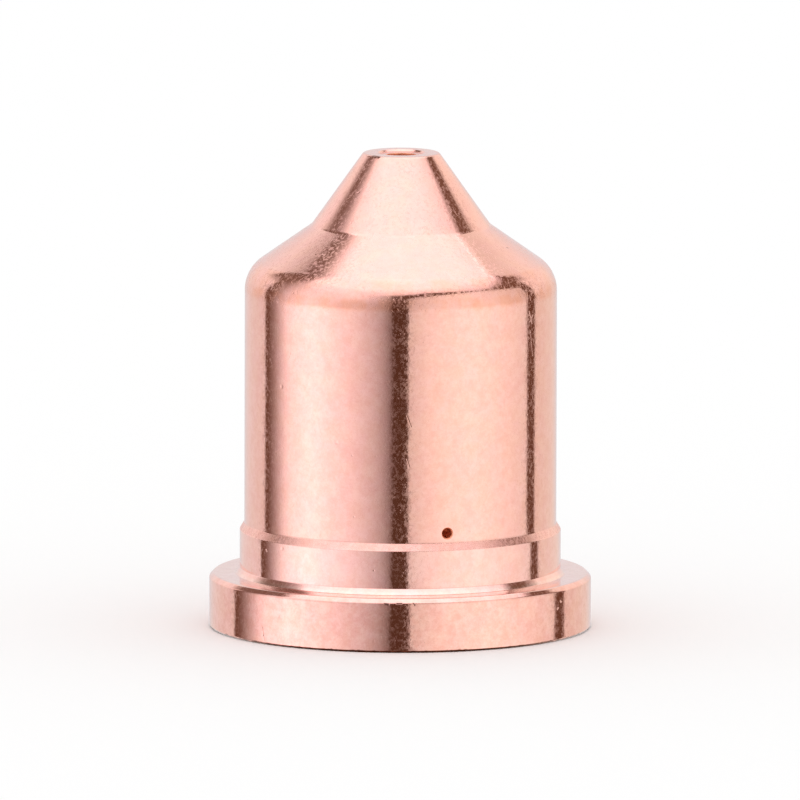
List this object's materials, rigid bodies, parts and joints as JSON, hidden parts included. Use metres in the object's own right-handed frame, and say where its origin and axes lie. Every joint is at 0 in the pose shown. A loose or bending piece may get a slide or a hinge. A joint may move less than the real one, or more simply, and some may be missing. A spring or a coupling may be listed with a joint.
{
  "type": "plasma torch nozzle",
  "caption": "Flanged copper plasma torch nozzle with a conical nose, a narrow arc orifice, a bored electrode chamber and a small radial vent.",
  "frame": {"origin": "centre of the flat base face under the flange, on the turning axis", "axes": "+Z along the turning axis from the base to the orifice; -Y is the front, with the vent hole 17.5 degrees to its right, towards +X"},
  "size_m": [0.0176, 0.0176, 0.022],
  "materials": {
    "copper": "fine turned bare copper, satin"
  },
  "bodies": {
    "root": {"nozzle": "copper"}
  },
  "joints": []
}
